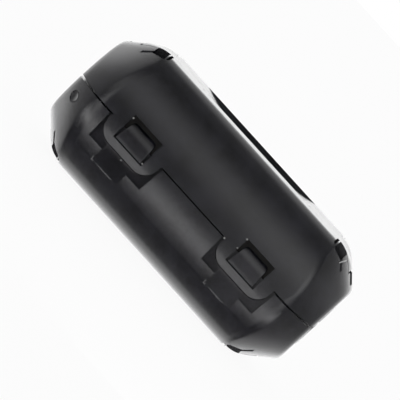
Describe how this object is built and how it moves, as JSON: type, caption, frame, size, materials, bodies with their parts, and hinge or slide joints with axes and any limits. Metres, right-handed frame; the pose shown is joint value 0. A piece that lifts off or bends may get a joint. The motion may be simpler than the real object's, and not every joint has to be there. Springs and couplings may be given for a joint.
{
  "type": "clip-on ferrite bead",
  "caption": "Clip-on ferrite bead for a round cable: a black nylon clamshell case with a living hinge, latch tongues and tapered ends around a split ferrite core.",
  "frame": {"origin": "middle of the cable bore, on the plane where the closed halves meet", "axes": "+X along the cable, +Z from the lower half to the upper half, -Y towards the latches and +Y towards the living hinge"},
  "size_m": [0.0404, 0.0196, 0.0184],
  "materials": {
    "case_nylon": "fine spark-eroded texture",
    "ferrite": "sintered, lightly ground"
  },
  "bodies": {
    "base": {"lower_shell": "case_nylon", "lower_core": "ferrite", "living_hinge": "case_nylon"},
    "lid": {"upper_shell": "case_nylon", "upper_core": "ferrite"},
    "left_latch": {"left_latch": "case_nylon"},
    "right_latch": {"right_latch": "case_nylon"}
  },
  "joints": [
    {"name": "lid_hinge", "type": "hinge", "parent": "base", "child": "lid", "pos_m": [0, 0.0102, 0], "axis": [-1, 0, 0], "range_deg": [0, 180], "deforming": ["living_hinge", "left_latch", "right_latch"]},
    {"name": "left_latch_flex", "type": "hinge", "parent": "lid", "child": "left_latch", "pos_m": [-0.0098, -0.0094, 0.00206], "axis": [-1, 0, 0], "range_deg": [0, 14], "stiffness_Nm_per_rad": 0.15, "deforming": ["left_latch"]},
    {"name": "right_latch_flex", "type": "hinge", "parent": "lid", "child": "right_latch", "pos_m": [0.0098, -0.0094, 0.00206], "axis": [-1, 0, 0], "range_deg": [0, 14], "stiffness_Nm_per_rad": 0.15, "deforming": ["right_latch"]}
  ]
}
